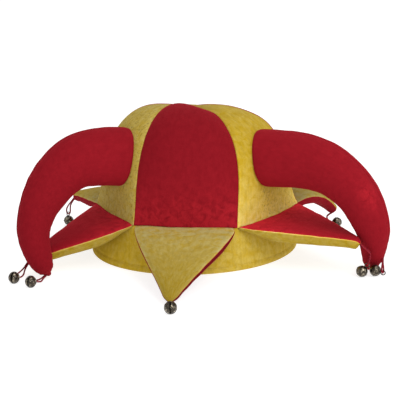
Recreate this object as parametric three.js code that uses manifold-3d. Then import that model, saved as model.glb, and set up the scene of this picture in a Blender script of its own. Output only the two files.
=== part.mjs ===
// Padded jester hat in two colours of velvet: a crown of six puffed gores on a plain headband, six stuffed
// points sewn into the seam between them, two stuffed horns, and a jingle bell on a cord loop at every tip.
// Millimetres, +Z up, front of the hat towards -Y. The hat rests on its rim, on z = 0.
import * as THREE from 'three';
import { mergeVertices } from 'three/addons/utils/BufferGeometryUtils.js';
import ManifoldModule from 'manifold-3d';

const wasm = await ManifoldModule();
wasm.setup();

// Cloth and seams
const GAP = 0.3;
const WALL = 2.4;

// Headband: a cuff that flares a little towards its rim, more on its left side
const RIM_RADIUS = 98.4;
const RIM_SHIFT = -2.6;
const RIM_FLATTENING = 1.6;
const SEAM_HEIGHT = 40;
const BAND_STEPS_UP = 3;

// Crown: a dome of six gores, flattened between the corners at its seam and puffed above it. It widens
// to its side corners, turns a little as it climbs, sinks towards the back, and dips at its shifted apex.
const GORE_ANGLE = 60;
const CROWN_RADIUS = 89.5;
const CROWN_RISE = 96.3;
const CROWN_FULLNESS = 0.8;
const CROWN_TURN = 6;
const CROWN_TURN_SLOWNESS = 0.7;
const FRONT_FLARE = 2;
const SIDE_FLARE = 7.5;
const FLARE_FADE = 7;
const SINK_SLOPE = 0.17;
const SINK_AZIMUTH = 162;
const FLATTENING_FADE = 3;
const PUFF_SKEW = 0.8;
const PUFF_SHARPNESS = 4;
const APEX_SHIFT = new THREE.Vector3(-8, 20, 0);
const APEX_SHIFT_FADE = 5;
const APEX_DIP = 6;
const APEX_DIP_RADIUS = 36;
const APEX_CLIMB = 0.994;
const GORE_STEPS_ACROSS = 6;
const GORE_STEPS_UP = 9;
const STEPS_ROUND = (360 / GORE_ANGLE) * GORE_STEPS_ACROSS;

// Puff is how far a gore's middle swells beyond its seams, flattening how far it is drawn in at the lower
// seam, and bows are degrees by which its two side seams bow towards greater azimuth.
const GORES = [
  { name: 'front', azimuth: 0, puff: 4.8, flattening: 5.5, bows: [-1.8, 2.8] },
  { name: 'right_front', azimuth: 60, puff: 6.5, flattening: 6.5, bows: [2.8, 0] },
  { name: 'right_back', azimuth: 120, puff: 6.6, flattening: 5.5, bows: [0, 0] },
  { name: 'back', azimuth: 180, puff: 3, flattening: 5.5, bows: [0, 0] },
  { name: 'left_back', azimuth: 240, puff: 3, flattening: 5.5, bows: [0, 0] },
  { name: 'left_front', azimuth: 300, puff: 2, flattening: 9, bows: [0, -1.8] },
];

// Points: stuffed triangles with a thin top panel and a deep under panel that rolls round the edge. Each
// top panel has the colour that its gore doesn't have.
const TOP_EDGE = 1.2;
const TOP_SWELL = 4;
const UNDER_SWELL = 3;
const UNDER_ROLL = 1.6;
const POINT_TIP_WIDTH = 8;
const POINT_TIP_ROUNDING = 0.6;
const POINT_CORNER_INSET = 0.8;
const TIP_MIDDLE = 0.36;
const POINT_BOW = 3.6;
const STUFFING_AT_SEAM = 0.6;
const STUFFING_FULL_FROM = 0.3;
const STUFFING_TAPER = 0.45;
const EDGE_TAPER = 0.25;
const POINT_LINE_STEPS = 24;
const POINT_STEPS_ALONG = 7;
const POINT_STEPS_ACROSS = 4;

// Droop is degrees below level, at the seam and at the tip. Sway is how far the tip lies towards greater
// azimuth, underEdge the depth of the under panel at its edges. The cord leaves in the middle of the tip, or
// by cordBack short of it and cordBelow under it.
const POINTS = [
  {
    name: 'front', length: 104, droopAtSeam: 12, droopAtTip: 26, sway: -1, underEdge: 6.5,
    cordBack: 9, cordBelow: 8.6,
  },
  { name: 'right_front', length: 100, droopAtSeam: 5, droopAtTip: 3.2, sway: -12, underEdge: 9 },
  { name: 'right_back', length: 71, droopAtSeam: -13, droopAtTip: 53, sway: -14, underEdge: 7 },
  { name: 'back', length: 88, droopAtSeam: 2, droopAtTip: 12, sway: 0, underEdge: 8 },
  { name: 'left_back', length: 68, droopAtSeam: 3.5, droopAtTip: 10.5, sway: 9, underEdge: 8 },
  { name: 'left_front', length: 92, droopAtSeam: 20, droopAtTip: 15, sway: 12, underEdge: 9 },
];

// Horns: a row for each section along the horn, from inside the crown to the tip. Out is the distance from
// the hat's axis along the horn's azimuth, fore the distance towards the front, tall the section's height.
// The cord leaves the horn's outer face at the share cordAlong of its length.
const HORN_WIDTH_TO_HEIGHT = 0.9;
const HORN_STEPS_ALONG = 20;
const HORN_STEPS_ROUND = 12;
const HORNS = [
  {
    name: 'left',
    azimuth: -60,
    frontSide: 1,
    cordAlong: 1,
    sections: [
      { out: 58, height: 93.5, fore: 14, tall: 52.5 },
      { out: 90, height: 98.1, fore: 12.5, tall: 50.8 },
      { out: 118, height: 96.2, fore: 12, tall: 47.5 },
      { out: 136.5, height: 85.5, fore: 13, tall: 43.5 },
      { out: 149.5, height: 72, fore: 15.5, tall: 39.5 },
      { out: 159, height: 57.5, fore: 19, tall: 33.4 },
      { out: 164.5, height: 42, fore: 23, tall: 29.4 },
      { out: 164.5, height: 27, fore: 29, tall: 25.5 },
      { out: 161.5, height: 15, fore: 32, tall: 21 },
      { out: 158, height: 7.5, fore: 33, tall: 14 },
      { out: 156.5, height: 4.5, fore: 33.5, tall: 5 },
    ],
  },
  {
    name: 'right',
    azimuth: 60,
    frontSide: -1,
    cordAlong: 0.8,
    sections: [
      { out: 58, height: 91, fore: 3.6, tall: 49.5 },
      { out: 92, height: 93.6, fore: 2.2, tall: 49 },
      { out: 119, height: 93.7, fore: 0, tall: 47.5 },
      { out: 142, height: 89.6, fore: -1, tall: 44.8 },
      { out: 157.3, height: 81.5, fore: -2, tall: 42 },
      { out: 170.2, height: 70, fore: -3, tall: 38.8 },
      { out: 179, height: 56.2, fore: -4, tall: 35.6 },
      { out: 184, height: 41, fore: -6, tall: 31 },
      { out: 184.3, height: 26.5, fore: -8, tall: 25 },
      { out: 183, height: 15, fore: -9, tall: 20 },
      { out: 181, height: 8, fore: -9.5, tall: 14.5 },
      { out: 180, height: 5, fore: -10, tall: 8 },
    ],
  },
];

// Bells: two thin brass cups closed to a ball, with a slot below and a wire eye on top
const BELL_RADIUS = 5;
const BELL_WALL = 0.6;
const SLOT_WIDTH = 1.4;
const SLOT_DEPTH = 3.6;
const EYE_RADIUS = 1.9;
const EYE_WIRE_RADIUS = 0.5;
const EYE_HEIGHT = BELL_RADIUS + EYE_RADIUS;
const BELL_STEPS_ROUND = 10;
const BELL_STEPS_UP = 6;
const EYE_STEPS_ROUND = 8;
const EYE_WIRE_SIDES = 5;

// Cord loops: one length of cord from each tip, through the bell's eye and back to the tip
const CORD_RADIUS = 0.7;
const CORD_SIDES = 6;
const CORD_STEPS = 16;
const CORD_START = 1.6;
const LOOP_ROOT_HALF = 0.8;
const LOOP_OPENS_FROM = 0.4;
const LOOP_OPEN_AT = 0.95;

// Bells that lie on the surface the rim stands on: azimuth and reach of the bell from the hat's axis, and
// of the knee that its cord passes on the way. The bell's eye points to the knee and dips by eyeDip for each
// unit out. Spread is how far each strand stands off that way.
const LYING = [
  {
    name: 'point_front', azimuth: 0.45, reach: 191.6,
    kneeAzimuth: 0.1, kneeReach: 178, kneeHeight: 2, eyeDip: 0.32, spread: 3,
  },
  {
    name: 'point_left_front', azimuth: -50, reach: 190,
    kneeAzimuth: -52.5, kneeReach: 180, kneeHeight: 5, eyeDip: 0.32, spread: 3,
  },
  {
    name: 'horn_left', azimuth: -44, reach: 184,
    kneeAzimuth: -46, kneeReach: 172, kneeHeight: 2, eyeDip: 0.32, spread: 3,
  },
  {
    name: 'horn_right', azimuth: 60, reach: 190.5,
    kneeAzimuth: 60.4, kneeReach: 196.7, kneeHeight: 8, eyeDip: 0.2, spread: 3,
  },
  {
    name: 'point_right_front', azimuth: 57.5, reach: 182,
    kneeAzimuth: 58.6, kneeReach: 188, kneeHeight: 21, eyeDip: -1.2, spread: 3,
  },
  {
    name: 'point_right_back', azimuth: 112.76, reach: 145.5,
    kneeAzimuth: 114.4, kneeReach: 136.4, kneeHeight: 11, eyeDip: 0.32, spread: 3,
  },
];

// Bells that hang, with their eyes up: where the eye is, and the knee
const HANGING = [
  {
    name: 'point_back', azimuth: 180, reach: 168, height: 12,
    kneeAzimuth: 180, kneeReach: 167.8, kneeHeight: 19.6, spread: 3,
  },
  {
    name: 'point_left_back', azimuth: -113.6, reach: 153.8, height: 12.3,
    kneeAzimuth: -114.2, kneeReach: 153.4, kneeHeight: 20, spread: 3,
  },
];

const UP = new THREE.Vector3(0, 0, 1);
const clothFinish = (color) => new THREE.MeshStandardMaterial({ color, roughness: 0.85, metalness: 0 });
const red = () => clothFinish(0x8f1a23);
const yellow = () => clothFinish(0xb99a37);
const antiqueBrass = () => new THREE.MeshStandardMaterial({ color: 0x6b5a33, roughness: 0.4, metalness: 1 });
const maroonCord = () => clothFinish(0x6d141c);

const hat = new THREE.Group();

function addPiece(name, geometry, material) {
  const piece = new THREE.Mesh(geometry, material);
  piece.name = name;
  hat.add(piece);
  return piece;
}

// Azimuth 0 is the front of the hat and grows towards +X
const outward = (azimuth) => {
  const angle = THREE.MathUtils.degToRad(azimuth);
  return new THREE.Vector3(Math.sin(angle), -Math.cos(angle), 0);
};
const sideways = (azimuth) => outward(azimuth + 90);
const polar = (azimuth, radius, z) => outward(azimuth).multiplyScalar(radius).setZ(z);
const azimuthRound = (x, z) => THREE.MathUtils.radToDeg(Math.atan2(x, z));

// Moves every vertex of a three.js shape to its place on the hat, with shared vertices merged
function bend(geometry, place) {
  geometry.deleteAttribute('normal');
  geometry.deleteAttribute('uv');
  const shape = mergeVertices(geometry, 1e-5);
  const position = shape.getAttribute('position');
  for (let i = 0; i < position.count; i += 1) {
    const placed = place(position.getX(i), position.getY(i), position.getZ(i));
    position.setXYZ(i, placed.x, placed.y, placed.z);
  }
  shape.computeVertexNormals();
  return shape;
}

const keepPlace = (x, y, z) => new THREE.Vector3(x, y, z);

function solid(geometry) {
  return new wasm.Manifold(new wasm.Mesh({
    numProp: 3,
    vertProperties: new Float32Array(geometry.getAttribute('position').array),
    triVerts: new Uint32Array(geometry.index.array),
  }));
}

function geometryOf(manifold) {
  const mesh = manifold.getMesh();
  const geometry = new THREE.BufferGeometry();
  geometry.setAttribute('position', new THREE.BufferAttribute(mesh.vertProperties, mesh.numProp));
  geometry.setIndex(new THREE.BufferAttribute(mesh.triVerts, 1));
  geometry.computeVertexNormals();
  return geometry;
}

const goreAt = (azimuth) => GORES[(Math.round(azimuth / GORE_ANGLE) + GORES.length) % GORES.length];

// Share of the way from a gore's middle (0) to its seams (1)
function goreShare(azimuth) {
  const fromMiddle = azimuth - Math.round(azimuth / GORE_ANGLE) * GORE_ANGLE;
  return fromMiddle / (GORE_ANGLE / 2);
}

const flare = (azimuth) => THREE.MathUtils.lerp(FRONT_FLARE, SIDE_FLARE, outward(azimuth).x ** 2);

// The crown's outer face at a climb from the seam (0) to the apex (1), moved outwards by a distance
function crownFace(azimuth, climb, distance) {
  const turn = (climb * Math.PI) / 2;
  const share = Math.sin(turn) ** CROWN_FULLNESS;
  const rise = CROWN_RISE * share;
  const radius = CROWN_RADIUS * Math.cos(turn) ** CROWN_FULLNESS + flare(azimuth) * (1 - share) ** FLARE_FADE;
  const normal = new THREE.Vector2(
    Math.cos(turn) ** (2 - CROWN_FULLNESS) / CROWN_RADIUS,
    Math.sin(turn) ** (2 - CROWN_FULLNESS) / CROWN_RISE,
  ).normalize();
  const gore = goreAt(azimuth);
  const across = goreShare(azimuth);
  const puff = gore.puff * Math.sin(Math.PI * climb ** PUFF_SKEW) * (1 - across ** PUFF_SHARPNESS);
  const flattening = gore.flattening * (1 - climb) ** FLATTENING_FADE * (1 - across ** 2);
  const lift = distance + puff - flattening;
  const bow = THREE.MathUtils.lerp(...gore.bows, (across + 1) / 2) * Math.sin(Math.PI * climb);
  const turned = azimuth + CROWN_TURN * climb ** CROWN_TURN_SLOWNESS + bow;
  const place = polar(turned, radius + normal.x * lift, SEAM_HEIGHT + rise + normal.y * lift);
  place.z -= SINK_SLOPE * share * outward(SINK_AZIMUTH).dot(place);
  place.z -= APEX_DIP * Math.exp(-((radius / APEX_DIP_RADIUS) ** 2));
  return place.addScaledVector(APEX_SHIFT, share ** APEX_SHIFT_FADE);
}

// The headband's outer face at a share of its height, moved outwards by a distance
function bandFace(azimuth, share, distance) {
  const flattening = goreAt(azimuth).flattening * (1 - goreShare(azimuth) ** 2);
  const seamRadius = CROWN_RADIUS + flare(azimuth) - flattening;
  const side = outward(azimuth);
  const rimRadius = RIM_RADIUS + RIM_SHIFT * side.x - RIM_FLATTENING * side.y ** 2;
  const radius = THREE.MathUtils.lerp(rimRadius, seamRadius, share);
  return polar(azimuth, radius + distance, share * SEAM_HEIGHT);
}

// Gores: walls between two seams, each cut back by half a gap
function goreGeometry(azimuth) {
  const box = new THREE.BoxGeometry(1, 1, 1, GORE_STEPS_ACROSS, GORE_STEPS_UP, 1);
  return bend(box, (x, y, z) => {
    const climb = (y + 0.5) * APEX_CLIMB;
    const distance = (z - 0.5) * WALL;
    const middle = crownFace(azimuth, climb, distance);
    const trim = THREE.MathUtils.radToDeg(GAP / 2 / Math.hypot(middle.x, middle.y));
    const place = crownFace(azimuth + 2 * x * (GORE_ANGLE / 2 - trim), climb, distance);
    place.z += GAP / 2;
    return place;
  });
}

GORES.forEach(({ name, azimuth }, i) => {
  addPiece(`gore_${name}`, goreGeometry(azimuth), i % 2 ? yellow() : red());
});

// Headband: a closed ring with its inner wall parallel to the outer one
function bandBlock(distance) {
  const cylinder = new THREE.CylinderGeometry(1, 1, 1, STEPS_ROUND, BAND_STEPS_UP);
  return solid(bend(cylinder, (x, y, z) => {
    const place = bandFace(azimuthRound(x, z), y + 0.5, distance);
    const height = place.z - (y + 0.5) * (GAP / 2);
    return x === 0 && z === 0 ? new THREE.Vector3(0, 0, height) : place.setZ(height);
  }));
}

addPiece('headband', geometryOf(bandBlock(0).subtract(bandBlock(-WALL))), yellow());

// The room that crown and headband take up, a gap larger: it trims what is sewn to them
function bodyRoom() {
  const levels = BAND_STEPS_UP + GORE_STEPS_UP;
  const cylinder = new THREE.CylinderGeometry(1, 1, 1, STEPS_ROUND, levels);
  return solid(bend(cylinder, (x, y, z) => {
    const azimuth = azimuthRound(x, z);
    const level = (y + 0.5) * levels;
    if (x === 0 && z === 0) {
      return y < 0 ? new THREE.Vector3() : crownFace(0, 1, GAP);
    }
    if (level < BAND_STEPS_UP) {
      return bandFace(azimuth, level / BAND_STEPS_UP, GAP);
    }
    return crownFace(azimuth, ((level - BAND_STEPS_UP) / GORE_STEPS_UP) * APEX_CLIMB, GAP);
  }));
}

const room = bodyRoom();
const sewnToBody = (geometry) => geometryOf(solid(geometry).subtract(room));

const cornerAt = (azimuth) => polar(azimuth, CROWN_RADIUS + flare(azimuth), SEAM_HEIGHT);

// A point hangs on the chord between two corners of the seam: that chord's ends, and the line from its middle
// to the point's tip
function pointFrame({ name, length, droopAtSeam, droopAtTip, sway }) {
  const { azimuth } = GORES.find((gore) => gore.name === name);
  const from = cornerAt(azimuth + GORE_ANGLE / 2);
  const to = cornerAt(azimuth - GORE_ANGLE / 2);
  const line = [from.clone().add(to).multiplyScalar(0.5)];
  for (let i = 0; i < POINT_LINE_STEPS; i += 1) {
    const share = (i + 0.5) / POINT_LINE_STEPS;
    const droop = THREE.MathUtils.degToRad(THREE.MathUtils.lerp(droopAtSeam, droopAtTip, share));
    const heading = outward(azimuth).multiplyScalar(Math.cos(droop)).addScaledVector(UP, -Math.sin(droop));
    heading.addScaledVector(sideways(azimuth), (2 * share * sway) / length);
    line.push(line.at(-1).clone().addScaledVector(heading, length / POINT_LINE_STEPS));
  }
  return {
    line: new THREE.CatmullRomCurve3(line),
    level: to.clone().sub(from).normalize(),
    seamHalf: from.distanceTo(to) / 2 - POINT_CORNER_INSET,
  };
}

// One panel of a stuffed point, above (side 1) or below (side -1) the seam round its edge
function pointPanel(row, side, edge, swell, roll) {
  const { line, level, seamHalf } = pointFrame(row);
  const box = new THREE.BoxGeometry(1, 1, 1, POINT_STEPS_ACROSS, POINT_STEPS_ALONG, 1);
  return bend(box, (x, y, z) => {
    const along = y + 0.5;
    const across = Math.sin(x * Math.PI);
    const outer = z * side + 0.5;
    const rounding = along === 1 ? POINT_TIP_ROUNDING : 1;
    const bow = POINT_BOW * 6.75 * along * (1 - along) ** 2;
    const half = (THREE.MathUtils.lerp(seamHalf, POINT_TIP_WIDTH / 2, along) + bow) * rounding - roll * outer;
    const filling = THREE.MathUtils.smoothstep(along, 0, STUFFING_FULL_FROM);
    const stuffing = THREE.MathUtils.lerp(STUFFING_AT_SEAM, 1, filling) * (1 - STUFFING_TAPER * along);
    const padding = edge * (1 - EDGE_TAPER * along) + swell * stuffing * Math.cos(x * Math.PI);
    const above = level.clone().cross(line.getTangent(along)).normalize();
    const layer = GAP / 2 + outer * padding * rounding;
    return line.getPoint(along).addScaledVector(level, across * half).addScaledVector(above, side * layer);
  });
}

POINTS.forEach((row, i) => {
  const top = pointPanel(row, 1, TOP_EDGE, TOP_SWELL, 0);
  const under = pointPanel(row, -1, row.underEdge, UNDER_SWELL, UNDER_ROLL);
  addPiece(`point_${row.name}_top`, sewnToBody(top), i % 2 ? red() : yellow());
  addPiece(`point_${row.name}_under`, sewnToBody(under), i % 2 ? yellow() : red());
});

// A horn's middle, its section's directions and its height at a share of its length
function hornSection({ azimuth, frontSide, sections }, along) {
  const toFront = sideways(azimuth).multiplyScalar(frontSide);
  const line = new THREE.CatmullRomCurve3(sections.map(({ out, height, fore }) => (
    polar(azimuth, out, height).addScaledVector(toFront, fore)
  )));
  const heights = new THREE.CatmullRomCurve3(sections.map(({ tall }) => new THREE.Vector3(tall, 0, 0)));
  const heading = line.getTangent(along);
  const side = sideways(azimuth).projectOnPlane(heading).normalize();
  return {
    middle: line.getPoint(along),
    side,
    outer: heading.clone().cross(side),
    tall: heights.getPoint(along).x,
  };
}

function hornGeometry(row) {
  const cylinder = new THREE.CylinderGeometry(1, 1, 1, HORN_STEPS_ROUND, HORN_STEPS_ALONG);
  return bend(cylinder, (x, y, z) => {
    const { middle, side, outer, tall } = hornSection(row, y + 0.5);
    return middle
      .addScaledVector(side, (x * tall * HORN_WIDTH_TO_HEIGHT) / 2)
      .addScaledVector(outer, (-z * tall) / 2);
  });
}

HORNS.forEach((row) => addPiece(`horn_${row.name}`, sewnToBody(hornGeometry(row)), red()));

// One bell, its eye on +Z and the slot across -Z
function bellGeometry() {
  const ball = (radius) => (
    solid(bend(new THREE.SphereGeometry(radius, BELL_STEPS_ROUND, BELL_STEPS_UP), keepPlace))
  );
  const slot = new THREE.BoxGeometry(SLOT_WIDTH, 3 * BELL_RADIUS, 2 * SLOT_DEPTH);
  slot.translate(0, 0, -BELL_RADIUS);
  const eye = new THREE.TorusGeometry(EYE_RADIUS, EYE_WIRE_RADIUS, EYE_WIRE_SIDES, EYE_STEPS_ROUND);
  eye.rotateY(Math.PI / 2).translate(0, 0, EYE_HEIGHT);
  const shell = ball(BELL_RADIUS).add(solid(bend(eye, keepPlace)));
  return geometryOf(shell.subtract(ball(BELL_RADIUS - BELL_WALL)).subtract(solid(bend(slot, keepPlace))));
}

// Where each cord leaves its tip
const tips = new Map();
POINTS.forEach((row) => {
  const { line, level } = pointFrame(row);
  const { name, cordBack = 0, cordBelow = TIP_MIDDLE * row.underEdge } = row;
  const heading = line.getTangent(1);
  const above = level.clone().cross(heading);
  const tip = line.getPoint(1).addScaledVector(heading, CORD_START - cordBack);
  tips.set(`point_${name}`, tip.addScaledVector(above, -cordBelow));
});
HORNS.forEach((row) => {
  const { middle, outer, tall } = hornSection(row, row.cordAlong);
  tips.set(`horn_${row.name}`, middle.addScaledVector(outer, tall / 2 + CORD_START));
});

// The loop: two strands that leave the tip side by side, spread, and meet round the bell's eye
function loopRoute(start, knee, end, widest) {
  const line = new THREE.CatmullRomCurve3([start, knee, end]);
  const side = UP.clone().cross(end.clone().sub(knee)).normalize();
  const length = line.getLength();
  const straight = 1 - widest / length;
  const strand = [0, 0.15, 0.35, 0.6, 0.85, 1];
  const turn = [0.35, 0.7];
  const spots = [
    ...strand.map((share) => ({
      along: share * straight,
      spread: THREE.MathUtils.lerp(
        LOOP_ROOT_HALF, widest, THREE.MathUtils.smoothstep(share, LOOP_OPENS_FROM, LOOP_OPEN_AT),
      ),
    })),
    ...turn.map((share) => ({
      along: straight + (1 - straight) * Math.sin((share * Math.PI) / 2),
      spread: widest * Math.cos((share * Math.PI) / 2),
    })),
  ];
  const spot = (along, spread) => line.getPointAt(along).addScaledVector(side, spread);
  return new THREE.CatmullRomCurve3([
    ...spots.map(({ along, spread }) => spot(along, spread)),
    spot(1, 0),
    ...spots.map(({ along, spread }) => spot(along, -spread)).reverse(),
  ]);
}

const cordSection = new THREE.Shape(Array.from({ length: CORD_SIDES }, (_, i) => (
  new THREE.Vector2(CORD_RADIUS, 0).rotateAround(new THREE.Vector2(), (2 * Math.PI * i) / CORD_SIDES)
)));

const bell = bellGeometry();
const drops = [];

function addDrop({ name, spread }, knee, eye, eyeWay) {
  const route = loopRoute(tips.get(name), knee, eye, spread);
  const through = route.getTangent(0.5).projectOnPlane(eyeWay).normalize();
  const bellPiece = addPiece(`bell_${name}`, bell, antiqueBrass());
  bellPiece.position.copy(eye).addScaledVector(eyeWay, -EYE_HEIGHT);
  bellPiece.quaternion.setFromRotationMatrix(
    new THREE.Matrix4().makeBasis(through, eyeWay.clone().cross(through), eyeWay),
  );
  const tube = new THREE.ExtrudeGeometry(cordSection, { steps: CORD_STEPS, extrudePath: route });
  drops.push(bellPiece, addPiece(`cord_${name}`, bend(tube, keepPlace), maroonCord()));
}

LYING.forEach((row) => {
  const centre = polar(row.azimuth, row.reach, BELL_RADIUS + GAP);
  const knee = polar(row.kneeAzimuth, row.kneeReach, row.kneeHeight);
  const eyeWay = knee.clone().sub(centre).setZ(0).normalize().addScaledVector(UP, -row.eyeDip).normalize();
  addDrop(row, knee, centre.addScaledVector(eyeWay, EYE_HEIGHT), eyeWay);
});

HANGING.forEach((row) => {
  const knee = polar(row.kneeAzimuth, row.kneeReach, row.kneeHeight);
  addDrop(row, knee, polar(row.azimuth, row.reach, row.height), UP);
});

// The origin is the middle of the hat's own box, on the surface that it rests on
const box = new THREE.Box3();
hat.children.filter((piece) => !drops.includes(piece)).forEach((piece) => box.expandByObject(piece));
const middle = box.getCenter(new THREE.Vector3());
hat.position.set(-middle.x, -middle.y, 0);

export default hat;
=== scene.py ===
# Padded velvet jester hat in red and yellow, standing on its rim with bells lying round it.
# Every piece is in metres, in the CAD model's frame: +Z up, the front of the hat towards -Y.
import math

import bmesh
import bpy
from mathutils import Matrix, Vector, noise
from mathutils.bvhtree import BVHTree


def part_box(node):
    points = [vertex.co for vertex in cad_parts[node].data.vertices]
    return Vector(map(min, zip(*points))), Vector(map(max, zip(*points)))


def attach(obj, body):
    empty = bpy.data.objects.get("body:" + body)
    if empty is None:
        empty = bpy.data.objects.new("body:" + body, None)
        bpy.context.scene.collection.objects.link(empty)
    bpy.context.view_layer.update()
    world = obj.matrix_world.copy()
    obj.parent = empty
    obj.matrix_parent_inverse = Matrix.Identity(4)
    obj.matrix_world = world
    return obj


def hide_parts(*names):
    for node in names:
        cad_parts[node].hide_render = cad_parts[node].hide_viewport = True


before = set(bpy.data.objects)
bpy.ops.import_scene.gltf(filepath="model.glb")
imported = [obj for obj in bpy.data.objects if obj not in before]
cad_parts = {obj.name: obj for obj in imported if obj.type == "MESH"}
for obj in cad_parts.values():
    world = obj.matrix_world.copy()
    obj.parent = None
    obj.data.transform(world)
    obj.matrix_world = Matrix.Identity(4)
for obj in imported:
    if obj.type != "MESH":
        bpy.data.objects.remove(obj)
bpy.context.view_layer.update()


# Velvet: a knitted ground with a short cut pile. The red cloth lies smooth, while the yellow cloth is crushed,
# so its pile leans this way and that in small patches that shine paler or look deeper. Both are cut from one
# weave, and the hat is lined with plain cotton.
FIBRES_PER_METRE = 1500
STREAKS_PER_METRE = 420
STREAK_STRETCH = (1, 0.3, 1)
FLECKS_PER_METRE = 500
FLECK_LEVELS = (0.52, 0.72)
PATCH_LEVELS = (0.35, 0.65)
CALM_TO_CRUSHED_NAP = (0.45, 0.8)
TONE_ENDS = (0.1, 0.9)
PILE_DEPTHS = (1.05, 1.8)
PILE_ROUGHNESS = (1, 0.75)
PATCH_RELIEF = 0.6
VELVETS = {
    "red": {
        "slot": "red_velvet",
        "patch_size": 0.006,
        "calm": 0.04,
        "crushed": 0.45,
        "speck": 0,
        "away": (0.185, 0.0048, 0.0100),
        "towards": (0.330, 0.0110, 0.0185),
        "shades": (0.90, 1.05),
        "seam_painted_light": 0,
        "sheen_tint": (1.0, 0.06, 0.08, 1),
        "sheen": 0.25,
    },
    "yellow": {
        "slot": "yellow_velvet",
        "patch_size": 0.0058,
        "calm": 0.15,
        "crushed": 0.55,
        "speck": 0.5,
        "away": (0.505, 0.330, 0.018),
        "towards": (0.455, 0.375, 0.130),
        "shades": (0.68, 1.05),
        # Painted light near the seams, against the shade in their grooves
        "seam_painted_light": 0.2,
        "sheen_tint": (1.0, 0.85, 0.45, 1),
        "sheen": 0.08,
    },
}


def plug(tree, socket, value):
    if isinstance(value, bpy.types.NodeSocket):
        tree.links.new(value, socket)
    else:
        socket.default_value = value


def set_inputs(tree, node, **inputs):
    for name, value in inputs.items():
        plug(tree, node.inputs[name.replace("_", " ")], value)


def add_node(tree, kind, settings=None, **inputs):
    made = tree.nodes.new(kind)
    for name, value in (settings or {}).items():
        setattr(made, name, value)
    set_inputs(tree, made, **inputs)
    return made


def add_ramp(tree, fac, stops):
    ramp = add_node(tree, "ShaderNodeValToRGB", Fac=fac)
    for _ in stops[2:]:
        ramp.color_ramp.elements.new(0.5)
    for element, (position, colour) in zip(ramp.color_ramp.elements, stops):
        element.position = position
        element.color = (*colour, 1)
    return ramp.outputs["Color"]


def combine(tree, first, second, operation="ADD"):
    made = add_node(tree, "ShaderNodeMath", {"operation": operation})
    for socket, value in zip(made.inputs, (first, second)):
        plug(tree, socket, value)
    return made.outputs[0]


def map_range(tree, value, source, target=(0, 1)):
    made = add_node(tree, "ShaderNodeMapRange", Value=value, From_Min=source[0], From_Max=source[1],
                    To_Min=target[0], To_Max=target[1])
    return made.outputs[0]


def add_noise(tree, **inputs):
    return add_node(tree, "ShaderNodeTexNoise", **inputs).outputs["Fac"]


def read_attribute(tree, name):
    return add_node(tree, "ShaderNodeAttribute", {"attribute_name": name}).outputs["Fac"]


def cloth_coordinates(tree):
    return add_node(tree, "ShaderNodeUVMap", {"uv_map": "cloth"}).outputs["UV"]


def start_material(name):
    material = bpy.data.materials.new(name)
    material.use_nodes = True
    tree = material.node_tree
    return material, tree, tree.nodes["Principled BSDF"]


def make_pile_group():
    group = bpy.data.node_groups.new("velvet_pile", "ShaderNodeTree")
    group.interface.new_socket("Cloth", in_out="INPUT", socket_type="NodeSocketVector")
    group.interface.new_socket("Patch Size", in_out="INPUT", socket_type="NodeSocketFloat")
    for name in ("Fibre", "Patch", "Streak", "Speck"):
        group.interface.new_socket(name, in_out="OUTPUT", socket_type="NodeSocketFloat")
    given = group.nodes.new("NodeGroupInput")
    cloth = given.outputs["Cloth"]
    fibre = add_noise(group, Vector=cloth, Scale=FIBRES_PER_METRE, Detail=3, Roughness=0.7)
    per_metre = combine(group, 1.0, given.outputs["Patch Size"], "DIVIDE")
    patch = add_noise(group, Vector=cloth, Scale=per_metre, Detail=6, Roughness=0.6, Distortion=0.6)
    drawn_out = add_node(group, "ShaderNodeMapping", Vector=cloth, Scale=STREAK_STRETCH)
    streak = add_noise(group, Vector=drawn_out.outputs["Vector"], Scale=STREAKS_PER_METRE, Detail=4,
                       Roughness=0.6, Distortion=0.3)
    fleck = add_noise(group, Vector=cloth, Scale=FLECKS_PER_METRE, Detail=3, Roughness=0.55, Distortion=0.8)
    add_node(group, "NodeGroupOutput", Fibre=fibre, Patch=patch, Streak=streak,
             Speck=map_range(group, fleck, FLECK_LEVELS))
    return group


velvet_pile = make_pile_group()


def make_velvet(name, patch_size, calm, crushed, speck, away, towards, shades, sheen_tint, sheen, **_):
    material, tree, shader = start_material(f"{name}_velvet")
    nap, painted_light, crush = (read_attribute(tree, lie) for lie in ("nap", "painted_light", "crush"))
    pile = add_node(tree, "ShaderNodeGroup", {"node_tree": velvet_pile}, Cloth=cloth_coordinates(tree),
                    Patch_Size=patch_size).outputs
    leaning = map_range(tree, pile["Patch"], PATCH_LEVELS, (-1, 1))
    unrest = map_range(tree, nap, CALM_TO_CRUSHED_NAP, (calm, crushed))
    tone = combine(tree, nap, combine(tree, leaning, unrest, "MULTIPLY"))
    colour = add_ramp(tree, tone, list(zip(TONE_ENDS, (away, towards))))
    depth = combine(tree, combine(tree, pile["Streak"], pile["Fibre"]), pile["Patch"])
    shade = map_range(tree, depth, PILE_DEPTHS, shades)
    flecked = combine(tree, combine(tree, pile["Speck"], crush, "MULTIPLY"), speck, "MULTIPLY")
    unflecked = combine(tree, 1.0, flecked, "SUBTRACT")
    # The colour is scaled by a factor kept on each vertex: light and shade painted onto the cloth.
    lit = combine(tree, combine(tree, shade, painted_light, "MULTIPLY"), unflecked, "MULTIPLY")
    shaded = add_node(tree, "ShaderNodeVectorMath", {"operation": "SCALE"}, Vector=colour, Scale=lit)
    relief = combine(tree, combine(tree, pile["Patch"], PATCH_RELIEF, "MULTIPLY"), pile["Fibre"])
    bump = add_node(tree, "ShaderNodeBump", Height=relief, Strength=0.5, Distance=0.0006)
    set_inputs(tree, shader, Base_Color=shaded.outputs["Vector"], Normal=bump.outputs["Normal"],
               Roughness=map_range(tree, depth, PILE_DEPTHS, PILE_ROUGHNESS), Specular_IOR_Level=0.03,
               Sheen_Weight=sheen, Sheen_Roughness=0.4, Sheen_Tint=sheen_tint)
    return material


velvets = {name: make_velvet(name, **finish) for name, finish in VELVETS.items()}


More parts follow.
